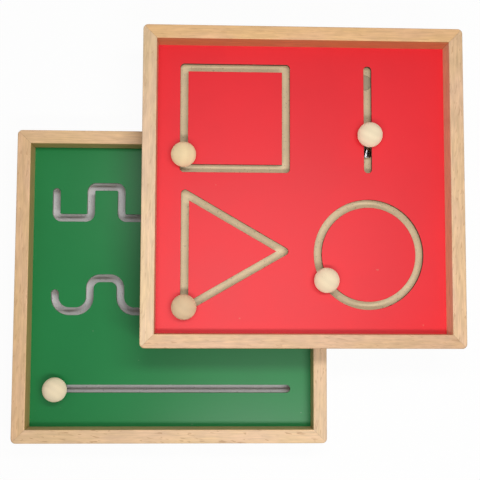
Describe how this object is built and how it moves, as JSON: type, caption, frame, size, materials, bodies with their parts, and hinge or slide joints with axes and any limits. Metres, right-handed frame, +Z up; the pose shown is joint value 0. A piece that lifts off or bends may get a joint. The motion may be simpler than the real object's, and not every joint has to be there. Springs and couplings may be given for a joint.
{
  "type": "tracing board",
  "caption": "Framed wooden tracing boards with painted faces, whose slotted tracks guide ball beads on bolts for finger tracing.",
  "frame": {"origin": "on the table under the middle of the box round both boards", "axes": "+X to the right along the front rails, +Y away from the user, +Z up"},
  "size_m": [0.4236, 0.392, 0.0915],
  "materials": {
    "beech": "clear satin lacquer on pale beech",
    "red_paint": "satin red paint on board",
    "green_paint": "satin green paint on board",
    "raw_board": "bare board",
    "grey_board": "grey paper-faced board",
    "ball_wood": "fine sanded pale wood",
    "bolt_steel": "bright turned steel",
    "washer_steel": "bright steel"
  },
  "bodies": {
    "green_board": {"green_right_rail": "beech", "green_back_rail": "beech", "green_left_rail": "beech", "green_front_rail": "beech", "green_corner_splines": "beech", "green_face_sheet": "green_paint", "green_core_sheet": "raw_board", "green_back_sheet": "grey_board", "green_back_plugs": "grey_board"},
    "red_board": {"red_right_rail": "beech", "red_back_rail": "beech", "red_left_rail": "beech", "red_front_rail": "beech", "red_corner_splines": "beech", "red_face_sheet": "red_paint", "red_core_sheet": "raw_board", "red_back_sheet": "raw_board", "red_back_plugs": "raw_board", "square_face_island": "red_paint", "square_core_island": "raw_board", "triangle_face_island": "red_paint", "triangle_core_island": "raw_board", "circle_face_island": "red_paint", "circle_core_island": "raw_board"},
    "square_slider": {"square_washer": "washer_steel"},
    "square_knob": {"square_ball": "ball_wood", "square_bolt": "bolt_steel"},
    "line_slider": {"line_washer": "washer_steel"},
    "line_knob": {"line_ball": "ball_wood", "line_bolt": "bolt_steel"},
    "triangle_slider": {"triangle_washer": "washer_steel"},
    "triangle_knob": {"triangle_ball": "ball_wood", "triangle_bolt": "bolt_steel"},
    "circle_slider": {"circle_washer": "washer_steel"},
    "circle_knob": {"circle_ball": "ball_wood", "circle_bolt": "bolt_steel"},
    "meander_slider": {"meander_washer": "washer_steel"},
    "meander_knob": {"meander_ball": "ball_wood", "meander_bolt": "bolt_steel"},
    "wave_slider": {"wave_washer": "washer_steel"},
    "wave_knob": {"wave_ball": "ball_wood", "wave_bolt": "bolt_steel"},
    "straight_slider": {"straight_washer": "washer_steel"},
    "straight_knob": {"straight_ball": "ball_wood", "straight_bolt": "bolt_steel"}
  },
  "joints": [
    {"name": "red_board_lift", "type": "slide", "parent": "green_board", "child": "red_board", "axis": [0, 0, 1], "range_m": [0, 0.12]},
    {"name": "square_slide", "type": "slide", "parent": "red_board", "child": "square_slider", "axis": [0, 1, 0], "range_m": [-0.011, 0.086]},
    {"name": "line_slide", "type": "slide", "parent": "red_board", "child": "line_slider", "axis": [0, 1, 0], "range_m": [-0.01969, 0.065]},
    {"name": "triangle_slide", "type": "slide", "parent": "red_board", "child": "triangle_slider", "axis": [0, 1, 0], "range_m": [-0.0015, 0.107]},
    {"name": "circle_orbit", "type": "hinge", "parent": "red_board", "child": "circle_slider", "pos_m": [0.12525, -0.0165, 0.0683], "axis": [0, 0, 1], "continuous": true},
    {"name": "meander_slide", "type": "slide", "parent": "green_board", "child": "meander_slider", "axis": [0, 1, 0], "range_m": [-0.0205, 0]},
    {"name": "wave_swing", "type": "hinge", "parent": "green_board", "child": "wave_slider", "pos_m": [0.03525, -0.05725, 0.02315], "axis": [0, 0, 1], "range_deg": [0, 90]},
    {"name": "straight_slide", "type": "slide", "parent": "green_board", "child": "straight_slider", "axis": [1, 0, 0], "range_m": [-0.0035, 0.2245]},
    {"name": "square_spin", "type": "hinge", "parent": "square_slider", "child": "square_knob", "pos_m": [-0.05025, 0.0755, 0.07974], "axis": [0, 0, 1], "continuous": true},
    {"name": "line_spin", "type": "hinge", "parent": "line_slider", "child": "line_knob", "pos_m": [0.12525, 0.096, 0.07974], "axis": [0, 0.5518, 0.834], "continuous": true},
    {"name": "triangle_spin", "type": "hinge", "parent": "triangle_slider", "child": "triangle_knob", "pos_m": [-0.04873, -0.06675, 0.07974], "axis": [0, 0, 1], "continuous": true},
    {"name": "circle_spin", "type": "hinge", "parent": "circle_slider", "child": "circle_knob", "pos_m": [0.08376, -0.04143, 0.07974], "axis": [0, 0, 1], "continuous": true},
    {"name": "meander_spin", "type": "hinge", "parent": "meander_slider", "child": "meander_knob", "pos_m": [0.04925, 0.0465, 0.03459], "axis": [0, 0, 1], "continuous": true},
    {"name": "wave_spin", "type": "hinge", "parent": "wave_slider", "child": "wave_knob", "pos_m": [0.03525, -0.07125, 0.03459], "axis": [0, 0, 1], "continuous": true},
    {"name": "straight_spin", "type": "hinge", "parent": "straight_slider", "child": "straight_knob", "pos_m": [-0.17325, -0.1465, 0.03459], "axis": [0, 0, 1], "continuous": true}
  ]
}
